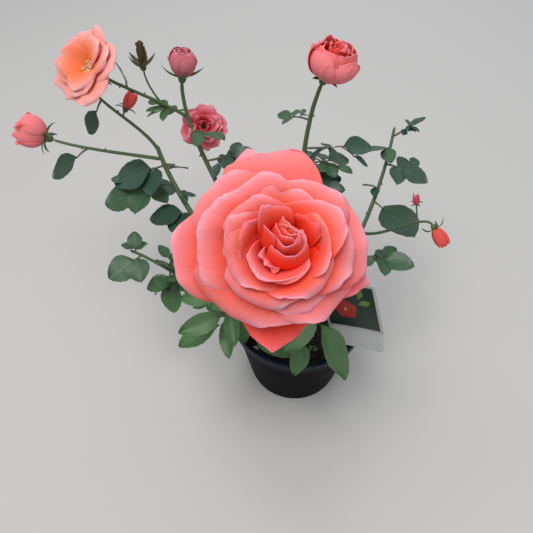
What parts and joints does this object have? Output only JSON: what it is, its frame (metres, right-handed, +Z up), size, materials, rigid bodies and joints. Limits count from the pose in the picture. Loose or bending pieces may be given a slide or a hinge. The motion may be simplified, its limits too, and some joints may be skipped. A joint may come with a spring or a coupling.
{
  "type": "potted rose bush",
  "caption": "Small rose bush in a round nursery pot: arching canes with compound leaves, one large open bloom over smaller blooms and buds, and a folded plant label.",
  "frame": {"origin": "centre of the flat underside of the pot", "axes": "+Z up, along the pot's axis; the large bloom leans to -Y, which is the front; +X is to the right of a viewer at the front"},
  "size_m": [0.4362, 0.3665, 0.4216],
  "materials": {
    "pot_plastic": "satin moulded black plastic",
    "potting_soil": "dark moist crumbly potting soil",
    "label_card": "satin white plastic card with a printed flower picture",
    "wood": "rough brown bark",
    "cane": "smooth green bark with a few thorns",
    "leaf": "semi-gloss green leaf",
    "coral_bloom": "soft coral petals",
    "orange_bloom": "soft orange petals",
    "pink_bloom": "soft pink petals",
    "green_bud": "matt green sepals"
  },
  "bodies": {
    "root": {"pot": "pot_plastic", "soil": "potting_soil", "plant_label": "label_card", "stem_base": "wood", "front_cane": "cane", "back_cane": "cane", "left_cane": "cane", "back_left_cane": "cane", "right_cane": "cane", "low_left_shoot": "cane", "lower_bloom_branch": "cane", "left_bud_branch": "cane", "open_bloom_branch": "cane", "right_bud_branch": "cane", "large_bloom": "coral_bloom", "half_open_bloom": "coral_bloom", "open_bloom": "orange_bloom", "faded_bloom": "pink_bloom", "left_bud": "coral_bloom", "pink_bud": "pink_bloom", "red_bud": "coral_bloom", "green_bud": "green_bud", "right_bud": "pink_bloom", "small_right_bud": "pink_bloom", "left_bud_leaves": "leaf", "hanging_leaf": "leaf", "pale_leaf": "leaf", "upper_left_leaves": "leaf", "mid_left_leaves": "leaf", "olive_leaf": "leaf", "upper_stem_leaves": "leaf", "faded_bloom_leaves": "leaf", "inner_left_leaves": "leaf", "outer_left_leaves": "leaf", "lower_left_leaves": "leaf", "low_left_upper_leaf": "leaf", "low_left_lower_leaf": "leaf", "low_left_hanging_leaf": "leaf", "front_left_leaves": "leaf", "front_right_leaf": "leaf", "right_low_leaves": "leaf", "right_round_leaf": "leaf", "right_mid_leaves": "leaf", "right_upper_leaves": "leaf", "right_top_leaves": "leaf", "back_right_leaves": "leaf", "back_mid_leaves": "leaf", "back_small_leaves": "leaf", "front_cane_left_leaves": "leaf", "front_cane_right_leaves": "leaf", "front_cane_upper_leaf": "leaf", "centre_back_leaves": "leaf", "centre_left_leaves": "leaf", "low_back_leaves": "leaf", "low_back_left_leaves": "leaf", "faded_bloom_front_leaves": "leaf", "right_cane_inner_leaves": "leaf", "back_right_low_leaves": "leaf", "left_inner_leaves": "leaf", "low_left_inner_leaves": "leaf"}
  },
  "joints": []
}
